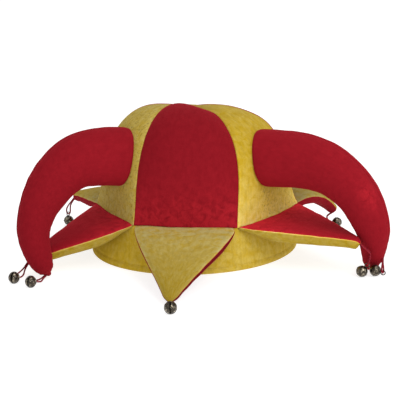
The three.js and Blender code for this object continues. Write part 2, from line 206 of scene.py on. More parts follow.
def make_lining():
    material, tree, shader = start_material("cotton_lining")
    cloth = cloth_coordinates(tree)
    weft, warp = (add_node(tree, "ShaderNodeTexWave", {"bands_direction": way}, Vector=cloth, Scale=700,
                           Distortion=1.5).outputs["Fac"] for way in ("X", "Y"))
    weave = combine(tree, weft, warp, "MULTIPLY")
    threads = add_ramp(tree, weave, [(0.0, (0.46, 0.40, 0.30)), (0.5, (0.60, 0.54, 0.43))])
    bump = add_node(tree, "ShaderNodeBump", Height=weave, Strength=0.4, Distance=0.0004)
    set_inputs(tree, shader, Base_Color=threads, Normal=bump.outputs["Normal"], Roughness=0.92)
    return material


lining = make_lining()


# Crown: six gores of velvet over thin foam, alternately red and yellow, lined with cotton. They are sewn edge
# to edge with the seams turned inside, so each one swells between its seams and rolls into them. The dome
# widens to its side corners, turns a little as it climbs, and sinks towards the back.
GORE_ANGLE = 60
SEAM_HEIGHT = 0.040
CROWN_RADIUS = 0.0895
CROWN_RISE = 0.0963
CROWN_FULLNESS = 0.80
CROWN_TURN = 6
CROWN_TURN_SLOWNESS = 0.7
FRONT_FLARE = 0.002
SIDE_FLARE = 0.0075
FLARE_FADE = 7
SINK_SLOPE = 0.17
SINK_AZIMUTH = 162
FLATTENING_FADE = 3
PUFF_SKEW = 0.8
PUFF_SHARPNESS = 4
APEX_SHIFT = Vector((-0.008, 0.020, 0))
APEX_SHIFT_FADE = 5
APEX_DIP = 0.006
APEX_DIP_RADIUS = 0.036
CROWN_LIE = [
    {"azimuth": 27, "climb": 0.87, "rise": -0.0046, "across": 14, "up": 0.12},
    {"azimuth": -16, "climb": 0.86, "rise": 0.0008, "across": 18, "up": 0.12},
    {"azimuth": 88, "climb": 0.5, "rise": 0.0042, "across": 18, "up": 0.14},
]
SEAM_LIE = [
    {"azimuth": 30, "rise": -0.0015, "across": 26},
    {"azimuth": -18, "rise": 0.0009, "across": 16},
]
SEAM_LIE_FADE = 4
GORE_WALL = 0.002
SEAM_ROLL = 0.0009
LOWER_ROLL = 0.0003
SEAM_PAINTED_LIGHT_REACH = 0.002
PUCKER = 0.0005
PUCKER_REACH = 0.006
PUCKER_SPACING = 0.008
SIDE_SEAM_SEED = 7
LOWER_SEAM_SEED = 3
DENT = 0.0009
DENT_SIZE = 0.045
DENT_FROM_SEAM = 0.01
NAP_LOW_FADE = 7
PAINTED_LIGHT_LOW_FADE = 5
TOP_FADE = 3
CRUSH_FADE_ACROSS = 0.4
CRUSH_FADE_UP = 0.2
GORE_STEPS_ACROSS = 48
GORE_STEPS_UP = 64
GORE_STEPS_LOWNESS = 1.5
CLOTH_DEGREES_PER_METRE = 100
MERGE_DISTANCE = 0.00002
# Bows are the degrees that a gore's two seams stand aside half way up. The painted light and shade, a factor on
# the colour, is given low, in the middle and at the top. Crushed is the share across from which the pile is
# crushed, and the climb below which it is, so a share of 2 is nowhere. A gore is as usual, apart from what its
# row says.
USUAL_GORE = {
    "flattening": 0.0055, "bows": (0, 0), "nap": 0.4, "nap_low": 0.2, "nap_top": 0.0,
    "painted_light": (1, 0.95, 0.95), "crushed": (2, 0),
}
GORES = [{**USUAL_GORE, **row} for row in (
    {
        "name": "front", "azimuth": 0, "cloth": "red", "puff": 0.0048, "bows": (-1.8, 2.8),
        "nap": 0.35, "nap_low": 0.48, "nap_top": 0.1, "painted_light": (1.02, 0.88, 0.94),
    },
    {
        "name": "right_front", "azimuth": 60, "cloth": "yellow", "puff": 0.0065, "flattening": 0.0065,
        "bows": (2.8, 0), "nap": 0.16, "nap_low": 0.4, "nap_top": 0.35, "painted_light": (1.46, 0.94, 0.89),
        "crushed": (-0.65, 0.5),
    },
    {"name": "right_back", "azimuth": 120, "cloth": "red", "puff": 0.0066},
    {
        "name": "back", "azimuth": 180, "cloth": "yellow", "puff": 0.003,
        "nap": 0.3, "nap_low": 0.3, "nap_top": 0.2, "painted_light": (1, 1, 1), "crushed": (-2, 0.4),
    },
    {"name": "left_back", "azimuth": 240, "cloth": "red", "puff": 0.003},
    {
        "name": "left_front", "azimuth": 300, "cloth": "yellow", "puff": 0.002, "flattening": 0.009,
        "bows": (0, -1.8), "nap": 0.42, "nap_low": 0.1, "nap_top": 0.25, "painted_light": (0.98, 0.96, 0.97),
        "crushed": (-2, 2),
    },
)]
rim_low, rim_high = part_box("headband")
hat_axis = Vector((rim_high.x - CROWN_RADIUS - SIDE_FLARE, (rim_low.y + rim_high.y) / 2, 0))
body_faces = []


# Azimuth 0 is the front of the hat and grows towards +X
def outward(azimuth):
    angle = math.radians(azimuth)
    return Vector((math.sin(angle), -math.cos(angle), 0))


def polar(azimuth, radius, height):
    return hat_axis + outward(azimuth) * radius + Vector((0, 0, height))


def blend(first, second, share):
    return first + (second - first) * share


def smooth_step(value, full):
    share = min(max(value / full, 0), 1)
    return share * share * (3 - 2 * share)


def flare(azimuth):
    return blend(FRONT_FLARE, SIDE_FLARE, outward(azimuth).x ** 2)


# How far the seam between crown and headband lies above its usual height
def seam_rise(azimuth):
    return sum(lie["rise"] * math.exp(-(math.remainder(azimuth - lie["azimuth"], 360) / lie["across"]) ** 2)
               for lie in SEAM_LIE)


# How far cloth has turned in at a distance from its seam, where it rolls over its own thickness
def roll_in(distance, roll):
    if distance >= roll:
        return 0
    return roll - math.sqrt(roll ** 2 - (roll - distance) ** 2)


def pucker(along_seam, from_seam, seed):
    gather = noise.noise(Vector((along_seam / PUCKER_SPACING, seed, 0)))
    return PUCKER * gather * math.exp(-from_seam / PUCKER_REACH)


# A gore's outer face at a share of the way from its middle to a seam and a climb from the lower seam to the
# apex, with its place in the flat cloth and its distance from the seam beside it
def crown_face(gore, share, climb):
    azimuth = gore["azimuth"] + share * GORE_ANGLE / 2
    turn = climb * math.pi / 2
    height_share = math.sin(turn) ** CROWN_FULLNESS
    rise = CROWN_RISE * height_share
    radius = CROWN_RADIUS * math.cos(turn) ** CROWN_FULLNESS + flare(azimuth) * (1 - height_share) ** FLARE_FADE
    facing = Vector((math.cos(turn) ** (2 - CROWN_FULLNESS) / CROWN_RADIUS,
                     math.sin(turn) ** (2 - CROWN_FULLNESS) / CROWN_RISE)).normalized()
    puff = gore["puff"] * math.sin(math.pi * climb ** PUFF_SKEW)
    flattening = gore["flattening"] * (1 - climb) ** FLATTENING_FADE
    half = radius * math.radians(GORE_ANGLE / 2)
    from_side = (1 - abs(share)) * half
    depth = max(roll_in(from_side, min(SEAM_ROLL, half / 2)), roll_in(rise, LOWER_ROLL))
    ripple = (pucker(rise, from_side, gore["azimuth"] + math.copysign(SIDE_SEAM_SEED, share))
              + pucker(share * half, rise, gore["azimuth"] + LOWER_SEAM_SEED))
    dent = DENT * noise.noise(polar(azimuth, radius, rise) / DENT_SIZE) * min(1, from_side / DENT_FROM_SEAM)
    lift = (puff * (1 - share ** PUFF_SHARPNESS) - flattening * (1 - share ** 2) - depth
            + (ripple + dent) * (1 - climb))
    bow = blend(*gore["bows"], (share + 1) / 2) * math.sin(math.pi * climb)
    turned = azimuth + CROWN_TURN * climb ** CROWN_TURN_SLOWNESS + bow
    place = polar(turned, radius + facing.x * lift, SEAM_HEIGHT + rise + facing.y * lift)
    place.z -= SINK_SLOPE * height_share * outward(SINK_AZIMUTH).dot(place - hat_axis)
    place.z -= APEX_DIP * math.exp(-(radius / APEX_DIP_RADIUS) ** 2)
    place.z += seam_rise(azimuth) * (1 - climb) ** SEAM_LIE_FADE
    place += APEX_SHIFT * height_share ** APEX_SHIFT_FADE
    for lie in CROWN_LIE:
        aside = math.remainder(azimuth - lie["azimuth"], 360) / lie["across"]
        place.z += lie["rise"] * math.exp(-aside ** 2 - ((climb - lie["climb"]) / lie["up"]) ** 2)
    return place, (share * half, rise + (CROWN_RADIUS - radius) / 2), from_side


def add_object(name, data):
    made = bpy.data.objects.new(name, data)
    bpy.context.scene.collection.objects.link(made)
    return made


def stand_for(piece, nodes):
    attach(piece, "root")
    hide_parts(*nodes)


def add_piece(name, mesh, materials, nodes):
    for face in mesh.faces:
        face.smooth = True
    data = bpy.data.meshes.new(name)
    mesh.to_mesh(data)
    mesh.free()
    for material in materials:
        data.materials.append(material)
    piece = add_object(name, data)
    stand_for(piece, nodes)
    return piece


# An empty mesh that keeps a number for each vertex of a ring, the lie of the pile, the light and shade painted
# on the cloth, how crushed it is, and the cloth's own coordinates
def start_cloth():
    mesh = bmesh.new()
    number = mesh.verts.layers.int.new("number")
    nap, painted_light, crush = (mesh.verts.layers.float.new(name) for name in ("nap", "painted_light", "crush"))
    cloth = mesh.loops.layers.uv.new("cloth")
    return mesh, number, nap, painted_light, crush, cloth


def sew_gore(gore):
    mesh, _, nap, painted_light, crush, cloth = start_cloth()
    bmesh.ops.create_grid(mesh, x_segments=GORE_STEPS_ACROSS, y_segments=GORE_STEPS_UP, size=1)
    cut = {}
    velvet = VELVETS[gore["cloth"]]
    low, middle, top = gore["painted_light"]
    from_share, below_climb = gore["crushed"]
    for vert in mesh.verts:
        share = math.sin(vert.co.x * math.pi / 2)
        climb = ((vert.co.y + 1) / 2) ** GORE_STEPS_LOWNESS
        vert.co, cut[vert], from_side = crown_face(gore, share, climb)
        vert[nap] = (gore["nap"] + gore["nap_low"] * (1 - climb) ** NAP_LOW_FADE
                     + gore["nap_top"] * climb ** TOP_FADE)
        vert[crush] = (smooth_step(share - from_share, CRUSH_FADE_ACROSS)
                       * smooth_step(below_climb - climb, CRUSH_FADE_UP))
        # Light and shade painted into the colour, set low, in the middle and at the top of the gore; the right
        # front gore is painted lighter low down, in the horn's shade.
        painted_light_level = (middle + (low - middle) * (1 - climb) ** PAINTED_LIGHT_LOW_FADE
                 + (top - middle) * climb ** TOP_FADE)
        # Yellow cloth is painted lighter near its side seams: painted light against the shade in the seams'
        # grooves.
        vert[painted_light] = painted_light_level * (1 + velvet["seam_painted_light"] * math.exp(-from_side / SEAM_PAINTED_LIGHT_REACH))
    for face in mesh.faces:
        for loop in face.loops:
            loop[cloth].uv = Vector(cut[loop.vert]) + Vector((gore["azimuth"] / CLOTH_DEGREES_PER_METRE, 0))
    bmesh.ops.remove_doubles(mesh, verts=mesh.verts, dist=MERGE_DISTANCE)
    body_faces.append(BVHTree.FromBMesh(mesh))
    piece = add_piece(f"crown_gore_{gore['name']}", mesh, [velvets[gore["cloth"]], lining],
                      [f"gore_{gore['name']}"])
    wall = piece.modifiers.new("foam_and_lining", "SOLIDIFY")
    wall.thickness = GORE_WALL
    wall.offset = -1
    wall.material_offset = 1


for gore in GORES:
    sew_gore(gore)


# Headband: a strip of yellow velvet folded double along the rim, sewn to the crown at its top and hemmed with a
# row of stitches just above the fold. It flares a little towards the rim and is joined at the back.
RIM_RADIUS = 0.0984
RIM_SHIFT = -0.0026
RIM_FLATTENING = 0.0016
BAND_WALL = 0.0024
BAND_SWELL = 0.0001
BAND_INNER_HEIGHTS = (0.0392, 0.032, 0.022, 0.012, 0.005)
BAND_FOLD_ANGLES = (-90, -60, -30, 0, 30, 60, 90)
BAND_FOLD_TOP = 0.0035
BAND_OUTER_HEIGHTS = (0.011, 0.014, 0.017, 0.020, 0.023, 0.026, 0.029, 0.032, 0.0345)
BAND_TOP_ROWS = [
    {"out": 0, "height": 0.037}, {"out": -0.0003, "height": 0.0382}, {"out": -0.0009, "height": 0.0392},
    {"out": -0.0013, "height": 0.0405}, {"out": -0.0017, "height": 0.0422}, {"out": -0.0022, "height": 0.0422},
]
HEM_HEIGHT = 0.0058
HEM_GROOVE = 0.0006
HEM_HALF = 0.0009
HEM_TOP = 0.003
BAND_WAVE = 0.0007
BAND_WAVE_SIZE = 0.03
BAND_WAVE_RADIUS = 0.05
BAND_WAVE_STRETCH = 0.3
JOIN_AZIMUTH = 180
JOIN_GROOVE = 0.0008
JOIN_HALF = 0.0012
JOIN_DEPTH = 0.002
INNER_SHARE = 0.6
INNER_CLOTH_SHIFT = 0.06
LINED_FROM = 0.006
LINED_FACING = -0.001
# Painted light: the band is lighter and paler towards this azimuth, where the key light falls.
BAND_BRIGHT_AZIMUTH = 60
BAND_NAP = 0.18
BAND_LIT_SIDE_NAP_GAIN = 0.14
BAND_PAINTED_LIGHT = 1.0
BAND_PAINTED_LIGHT_GAIN = 0.12
BAND_STEPS_ROUND = 288
BAND_CUT = (0.600, 0.040)


def gore_share(azimuth):
    return (azimuth / (GORE_ANGLE / 2) + 1) % 2 - 1


# Runs a ring of vertices through a row of stations. Each vertex keeps its number round the ring.
def loft(mesh, number, numbers, stations, place):
    ring = bmesh.ops.create_circle(mesh, segments=numbers, radius=1)["verts"]
    for i, vert in enumerate(ring):
        vert[number] = i
    rings = [ring]
    edges = list(dict.fromkeys(edge for vert in ring for edge in vert.link_edges))
    for _ in stations[1:]:
        grown = bmesh.ops.extrude_edge_only(mesh, edges=edges)["geom"]
        edges = [part for part in grown if isinstance(part, bmesh.types.BMEdge) and part.is_boundary]
        rings.append([part for part in grown if isinstance(part, bmesh.types.BMVert)])
    for station, ring in zip(stations, rings):
        for vert in ring:
            vert.co = place(station, vert[number])
    return rings


# Lays the cloth's own coordinates on a lofted shape, in metres round the ring and along the stations
def lay_cloth(mesh, number, cloth, numbers, round_at, along_at):
    for face in mesh.faces:
        held = [loop.vert[number] for loop in face.loops]
        closes = max(held) - min(held) > 1
        for loop in face.loops:
            i = loop.vert[number]
            turn = i + numbers if closes and i == 0 else i
            loop[cloth].uv = (round_at(turn), along_at[loop.vert])


def boundary(mesh):
    return [edge for edge in mesh.edges if edge.is_boundary]


# The band's section as distances out and heights: up the lined side, round the fold, over the hem to the top
def band_profile():
    fold = BAND_WALL / 2
    rows = [(-BAND_WALL, height) for height in BAND_INNER_HEIGHTS]
    for angle in BAND_FOLD_ANGLES:
        turn = math.radians(angle)
        rows.append((-fold + fold * math.sin(turn), fold - fold * math.cos(turn)))
    rows += [(2 * BAND_SWELL, BAND_FOLD_TOP), (BAND_SWELL, HEM_HEIGHT - HEM_HALF), (-HEM_GROOVE, HEM_HEIGHT),
             (0, HEM_HEIGHT + HEM_HALF), (BAND_SWELL, HEM_HEIGHT + HEM_TOP)]
    rows += [(BAND_SWELL, height) for height in BAND_OUTER_HEIGHTS]
    return rows + [(row["out"], row["height"]) for row in BAND_TOP_ROWS]


def band_place(row, i):
    out, height = row
    azimuth = 360 * i / BAND_STEPS_ROUND
    gore = GORES[round(azimuth / GORE_ANGLE) % len(GORES)]
    seam = CROWN_RADIUS + flare(azimuth) - gore["flattening"] * (1 - gore_share(azimuth) ** 2)
    side = outward(azimuth)
    rim = RIM_RADIUS + RIM_SHIFT * side.x - RIM_FLATTENING * side.y ** 2
    radius = blend(rim, seam, height / SEAM_HEIGHT) + out
    spot = polar(azimuth, BAND_WAVE_RADIUS, BAND_WAVE_STRETCH * height)
    radius += BAND_WAVE * noise.noise(spot / BAND_WAVE_SIZE)
    if out > -JOIN_DEPTH:
        from_join = math.radians(azimuth - JOIN_AZIMUTH) * RIM_RADIUS
        radius -= JOIN_GROOVE * math.exp(-(from_join / JOIN_HALF) ** 2)
    return polar(azimuth, radius, height * (1 + seam_rise(azimuth) / SEAM_HEIGHT))


def sew_band():
    mesh, number, nap, painted_light, _, cloth = start_cloth()
    profile = band_profile()
    rings = loft(mesh, number, BAND_STEPS_ROUND, profile, band_place)
    along = {}
    for (out, height), ring in zip(profile, rings):
        for vert in ring:
            along[vert] = height if out > -INNER_SHARE * BAND_WALL else height + INNER_CLOTH_SHIFT
    bmesh.ops.bridge_loops(mesh, edges=boundary(mesh))
    lay_cloth(mesh, number, cloth, BAND_STEPS_ROUND, lambda turn: BAND_CUT[0] * turn / BAND_STEPS_ROUND, along)
    bmesh.ops.recalc_face_normals(mesh, faces=mesh.faces)
    for vert in mesh.verts:
        # The band is painted lighter and paler towards the right front and darker towards the left: painted
        # light and shade.
        brightness = outward(BAND_BRIGHT_AZIMUTH).dot(vert.co - hat_axis) / RIM_RADIUS
        vert[nap] = BAND_NAP + BAND_LIT_SIDE_NAP_GAIN * brightness
        vert[painted_light] = BAND_PAINTED_LIGHT + BAND_PAINTED_LIGHT_GAIN * brightness
    for face in mesh.faces:
        spot = face.calc_center_median() - hat_axis
        lined = face.normal.dot(spot.xy.to_3d()) < LINED_FACING and spot.z > LINED_FROM
        face.material_index = 1 if lined else 0
    body_faces.append(BVHTree.FromBMesh(mesh))
    piece = add_piece("headband_cuff", mesh, [velvets["yellow"], lining], ["headband"])


sew_band()


# Points: six stuffed triangles sewn into the seam between crown and headband. A top panel meets an under panel
# of the other colour in a seam on the upper side, and the under panel rolls round the edge. All are pinched
# thin where they are sewn in.
POINT_TIP_HALF = 0.004
POINT_CORNER_INSET = 0.0008
POINT_SEAM_GAP = 0.002
POINT_NOSE_FROM = 0.93
POINT_NOSE_END = 0.02
NOSE_DROP = 0.8
BOW_TO_PEAK = 6.75
CORNER_REACH = 0.05
PINCH_REACH = 0.38
ROLL_LIMIT = 0.8
SEAM_FULLNESS = 0.45
SEAM_FULLNESS_REACH = 0.3
TIP_SLACK = 0.45
TOP_FLATNESS = 2.6
TOP_STEEPNESS = 0.62
UNDER_CROWN = 0.0030
EDGE_SEAM_SEED = 11
POINT_DENT = 0.0007
POINT_DENT_SIZE = 0.02
POINT_DENT_FROM_SEAM = 0.008
# The top panel's nap rises at its long edges: painted sheen on the rounded edges.
TOP_NAP = {"middle": 0.66, "at_crown": 0.16, "sheen_at_edges": 0.14, "lost_to_tip": 0.46}
TOP_NAP_REACH = 0.1
TOP_NAP_EDGE_SHARPNESS = 6
UNDER_NAP = {"middle": 0.32, "lost_to_tip": 0.1}
# Painted highlight along a point's long edges and at its sewn end
PAINTED_EDGE_HIGHLIGHT = 0.25
PAINTED_EDGE_HIGHLIGHT_REACH = 0.0025
PAINTED_EDGE_HIGHLIGHT_SHARPNESS = 40
POINT_STEPS_ALONG = 52
POINT_STEPS_TIPNESS = 1.15
POINT_LINE_STEPS = 48
POINT_LINE_END = 0.001
PANEL_STEPS = {"top": 28, "far_roll": 9, "under": 14, "near_roll": 9}
LEAVING_STEPS = 60
CORD_ROOT = 0.0006
# Edge seams are the angles up the roll at which the panels meet, on the side of lower and of greater azimuth,
# and bows and corners are how far those edges stand out and are pulled in. Droop and the painted light and
# shade on the top panel go from seam to tip; the under panel has one factor of painted light and shade. A point
# is as usual, apart from what its row says.
USUAL_POINT = {
    "edge_seams": (38, 38), "crown": 0.0052, "pinch": 0.22, "thinning": 0.36, "bows": (0.0036, 0.0036),
    "corners": (0, 0), "under_painted_light": 0.92, "cord_back": 0,
}
POINTS = [{**USUAL_POINT, **row} for row in (
    {
        "name": "front", "length": 0.104, "droop": (12, 26), "sway": -0.001, "roll": 0.0042,
        "painted_light": (0.97, 0.66), "under_painted_light": 0.5, "edge_seams": (25, 50), "thinning": 0.6,
        "bows": (0.0048, 0.0036), "corners": (0.0026, 0.0014), "cord_back": 0.0068, "cord_below": 0.006,
    },
    {
        "name": "right_front", "length": 0.100, "droop": (4, 2.8), "sway": -0.012, "roll": 0.0064,
        "painted_light": (1.5, 1.62), "under_painted_light": 0.85, "edge_seams": (52, 38), "crown": 0.0028,
        "bows": (0.0010, 0.0036),
    },
    {
        "name": "right_back", "length": 0.071, "droop": (-13, 53), "sway": -0.014, "roll": 0.0052,
        "painted_light": (0.62, 0.85), "under_painted_light": 0.85, "pinch": 0.8,
    },
    {"name": "back", "length": 0.088, "droop": (2, 12), "sway": 0, "roll": 0.0055, "painted_light": (1.1, 1.1)},
    {
        "name": "left_back", "length": 0.068, "droop": (3.5, 10.5), "sway": 0.009, "roll": 0.0055,
        "painted_light": (0.82, 0.9), "crown": 0.0064,
    },
    {
        "name": "left_front", "length": 0.092, "droop": (20, 15), "sway": 0.012, "roll": 0.0066,
        "painted_light": (1.15, 1.2), "under_painted_light": 0.74, "edge_seams": (38, 36), "crown": 0.0064,
        "bows": (0.0036, 0.0012),
    },
)]
point_steps_round = sum(PANEL_STEPS.values())


def seam_corner(azimuth):
    return polar(azimuth, CROWN_RADIUS + flare(azimuth), SEAM_HEIGHT + seam_rise(azimuth))


# The line from the middle of a point's seam to its tip, as points and headings, then the level direction across
# it and half of its width at the seam
def point_line(row, azimuth):
    start = seam_corner(azimuth + GORE_ANGLE / 2)
    end = seam_corner(azimuth - GORE_ANGLE / 2)
    places, headings = [(start + end) / 2], []
    step = row["length"] / POINT_LINE_STEPS
    for i in range(POINT_LINE_STEPS):
        share = (i + 0.5) / POINT_LINE_STEPS
        droop = math.radians(blend(*row["droop"], share))
        heading = outward(azimuth) * math.cos(droop) - Vector((0, 0, math.sin(droop)))
        heading += outward(azimuth + 90) * (2 * share * row["sway"] / row["length"])
        headings.append(heading)
        places.append(places[-1] + heading * step)
    return places, headings, (end - start).normalized(), (end - start).length / 2 - POINT_CORNER_INSET


def along_line(places, headings, along):
    spot = min(max(along, 0), 1) * POINT_LINE_STEPS
    i = min(int(spot), POINT_LINE_STEPS - 1)
    turn = min(max(spot - 0.5, 0), POINT_LINE_STEPS - 1 - POINT_LINE_END)
    heading = headings[int(turn)].lerp(headings[int(turn) + 1], turn % 1)
    return places[i].lerp(places[i + 1], spot - i), heading.normalized()


# Where a step round the point lies in its section, across it and above it: over the top panel, round the far
# edge, along the under panel and round the near edge
def point_section(i, half, roll, top, under, edge_seams):
    near, far = (math.radians(angle) for angle in edge_seams)
    flat = half - roll
    if i <= PANEL_STEPS["top"]:
        across = math.cos(math.pi * i / PANEL_STEPS["top"])
        reach = flat + roll * math.cos(near if across > 0 else far)
        return reach * across, top * (1 - abs(across) ** TOP_FLATNESS) ** TOP_STEEPNESS
    i -= PANEL_STEPS["top"]
    if i <= PANEL_STEPS["far_roll"]:
        turn = blend(far, -math.pi / 2, i / PANEL_STEPS["far_roll"])
        return -flat - roll * math.cos(turn), roll * (math.sin(turn) - math.sin(far))
    i -= PANEL_STEPS["far_roll"]
    if i <= PANEL_STEPS["under"]:
        across = -math.cos(math.pi * i / PANEL_STEPS["under"])
        lower = roll * blend(math.sin(far), math.sin(near), (across + 1) / 2)
        return flat * across, -roll - lower - under * (1 - across ** 2)
    i -= PANEL_STEPS["under"]
    turn = blend(-math.pi / 2, near, i / PANEL_STEPS["near_roll"])
    return flat + roll * math.cos(turn), roll * (math.sin(turn) - math.sin(near))


# The share of a line of cloth at which it comes out of crown and headband, coming from its far end
def leaves_body(line):
    for i in range(LEAVING_STEPS, 0, -1):
        near, far = line(i / LEAVING_STEPS), line((i - 1) / LEAVING_STEPS)
        reach = (far - near).length
        for tree in body_faces:
            found = tree.ray_cast(near, (far - near).normalized(), reach)[3]
            if found is not None:
                return (i - found / reach) / LEAVING_STEPS
    return 0


# How far below its edge seams a point's nose closes
def nose_drop(row, along):
    return NOSE_DROP * row["roll"] * (1 - row["thinning"] * along)


def sew_point(row):
    gore = next(gore for gore in GORES if gore["name"] == row["name"])
    azimuth = gore["azimuth"]
    places, headings, level, seam_half = point_line(row, azimuth)
    top_cloth, under_cloth = ("yellow", "red") if gore["cloth"] == "red" else ("red", "yellow")

    def surface(along, i):
        centre, heading = along_line(places, headings, along)
        above = level.cross(heading).normalized()
        into_nose = max(0, (along - POINT_NOSE_FROM) / (1 - POINT_NOSE_FROM))
        end_round = math.sqrt(max(1 - into_nose ** 2, 0))
        pull = math.exp(-(along / CORNER_REACH) ** 2)
        bows = [bow * BOW_TO_PEAK * along * (1 - along) ** 2 - corner * pull
                for bow, corner in zip(row["bows"], row["corners"])]
        closing = max(end_round, POINT_NOSE_END)
        half = (blend(seam_half, POINT_TIP_HALF, along) + sum(bows) / 2) * closing
        centre = centre + level * (bows[1] - bows[0]) / 2
        sewn = blend(row["pinch"], 1, smooth_step(along, PINCH_REACH))
        roll = min(row["roll"] * sewn * (1 - row["thinning"] * along), half * ROLL_LIMIT) * closing
        full = blend(SEAM_FULLNESS, 1, smooth_step(along, SEAM_FULLNESS_REACH))
        full *= (1 - TIP_SLACK * along) * end_round
        centre = centre - above * nose_drop(row, along) * (1 - end_round)
        across, up = point_section(i, half, roll, row["crown"] * full, UNDER_CROWN * full, row["edge_seams"])
        from_edge = max(half - abs(across), 0)
        seed = azimuth + math.copysign(EDGE_SEAM_SEED, across)
        up += pucker(along * row["length"], from_edge, seed) * end_round
        dent = POINT_DENT * noise.noise((centre + level * across) / POINT_DENT_SIZE)
        dent *= min(1, from_edge / POINT_DENT_FROM_SEAM) * end_round
        return centre + level * across + above * (up + dent)

    starts = [leaves_body(lambda along, i=i: surface(along, i)) for i in range(point_steps_round)]
    stations = [1 - (1 - i / POINT_STEPS_ALONG) ** POINT_STEPS_TIPNESS for i in range(POINT_STEPS_ALONG + 1)]
    mesh, number, nap, painted_light, _, cloth = start_cloth()
    rings = loft(mesh, number, point_steps_round, stations,
                 lambda along, i: surface(blend(starts[i] + POINT_SEAM_GAP, 1, along), i))
    along_at = {vert: along * row["length"] for along, ring in zip(stations, rings) for vert in ring}
    girth = rings[len(rings) // 3]
    spread = [0]
    for i in range(point_steps_round):
        spread.append(spread[-1] + (girth[i].co - girth[(i + 1) % point_steps_round].co).length)
    lay_cloth(mesh, number, cloth, point_steps_round,
              lambda turn: spread[turn] + azimuth / CLOTH_DEGREES_PER_METRE, along_at)
    for vert in mesh.verts:
        along = along_at[vert] / row["length"]
        if vert[number] > PANEL_STEPS["top"]:
            # The under panel's colour is scaled by one factor of painted light and shade, darkest under the
            # front point.
            vert[nap] = UNDER_NAP["middle"] - UNDER_NAP["lost_to_tip"] * along
            vert[painted_light] = row["under_painted_light"]
            continue
        edge = abs(math.cos(math.pi * vert[number] / PANEL_STEPS["top"]))
        vert[nap] = (TOP_NAP["middle"] + TOP_NAP["at_crown"] * math.exp(-along / TOP_NAP_REACH)
                     + TOP_NAP["sheen_at_edges"] * edge ** TOP_NAP_EDGE_SHARPNESS - TOP_NAP["lost_to_tip"] * along)
        # The top panel is painted lighter along its long edges and at its sewn end: painted highlights on the
        # rounded edges.
        rim = math.exp(-along * row["length"] / PAINTED_EDGE_HIGHLIGHT_REACH) + edge ** PAINTED_EDGE_HIGHLIGHT_SHARPNESS
        vert[painted_light] = blend(*row["painted_light"], along) * (1 + PAINTED_EDGE_HIGHLIGHT * rim)
    for face in mesh.faces:
        held = [loop.vert[number] for loop in face.loops]
        face.material_index = 0 if max(held) <= PANEL_STEPS["top"] else 1
    bmesh.ops.holes_fill(mesh, edges=boundary(mesh), sides=0)
    bmesh.ops.recalc_face_normals(mesh, faces=mesh.faces)
    finish = [velvets[top_cloth], velvets[under_cloth]]
    piece = add_piece(f"point_{row['name']}", mesh, finish,
                      [f"point_{row['name']}_top", f"point_{row['name']}_under"])
    heading = headings[-1].normalized()
    exit_place = places[-1] - heading * (CORD_ROOT + row["cord_back"])
    return exit_place - level.cross(heading) * row.get("cord_below", nose_drop(row, 1))


cord_exits = {f"point_{row['name']}": sew_point(row) for row in POINTS}


# Horns: two firmly stuffed red velvet tubes, each of two banana-shaped panels sewn along the outer and the
# inner curve, and sewn on the front yellow gores by their open ends.
HORN_LENGTH = 0.26
HORN_GIRTH = 0.15
HORN_WIDTH_TO_HEIGHT = 0.9
HORN_CAP = 0.03
HORN_CAP_END = 0.03
HORN_SEAM_ROLL = 0.0014
HORN_SEAM_ROLL_SHARE = 0.2
HORN_SEAM_GAP = 0.0008
HORN_BASE_ROLL = 0.0022
HORN_BASE_SQUARENESS = 2.15
HORN_BASE_LEAN = 0.006
HORN_BASE_REACH = 0.35
HORN_PUCKER_GAIN = 1.3
HORN_SEAM_SEED = 5
HORN_SWELL = 0.0004
HORN_SWELL_SIZE = 0.022
HORN_SWELL_FULL_AT = 0.012
HORN_NAP = 0.42
HORN_PAINTED_LIGHT_REACH = 0.7
# A paler patch painted on the right horn's outer bend: a painted highlight where a crease would catch the
# light, though the shape has no crease there.
HORN_CREASE_HIGHLIGHT = {"along": 0.47, "length": 0.05, "turn": 0.36, "width": 0.06}
HORN_CLOTH_DEGREES_PER_METRE = 50
HORN_STEPS_ROUND = 72
HORN_STEPS_ALONG = 130
HORN_STEPS_LOWNESS = 1.12
HORN_HEADING_STEP = 0.002
SHORTEST_SPAN = 1e-6
# Sections run from the crown to the end, in millimetres: out is the distance from the hat's axis, fore the
# distance towards the front, tall the section's height. The painted light and shade goes from the crown to the
# end.
HORN_COLUMNS = ("out", "height", "fore", "tall")
HORNS = [
    {
        "name": "left", "azimuth": -60, "front_side": 1, "cord_along": 1, "painted_light": (0.98, 0.82), "crease_highlight": 0,
        "sections": [
            (58, 93.5, 14, 52.5), (90, 98.1, 12.5, 50.8), (118, 96.2, 12, 47.5), (136.5, 85.5, 13, 43.5),
            (149.5, 72, 15.5, 39.5), (159, 57.5, 19, 33.4), (164.5, 42, 23, 29.4), (164.5, 27, 29, 25.5),
            (161.5, 15, 32, 21), (158, 7.5, 33, 14), (156.5, 4.5, 33.5, 5),
        ],
    },
    {
        "name": "right", "azimuth": 60, "front_side": -1, "cord_along": 0.8, "painted_light": (1.1, 0.95),
        "crease_highlight": 0.45,
        "sections": [
            (58, 91, 3.6, 49.5), (92, 93.6, 2.2, 49), (119, 93.7, 0, 47.5), (142, 89.6, -1, 44.8),
            (157.3, 81.5, -2, 42), (170.2, 70, -3, 38.8), (179, 56.2, -4, 35.6), (184, 41, -6, 31),
            (184.3, 26.5, -8, 25), (183, 15, -9, 20), (181, 8, -9.5, 14.5), (180, 5, -10, 8),
        ],
    },
]


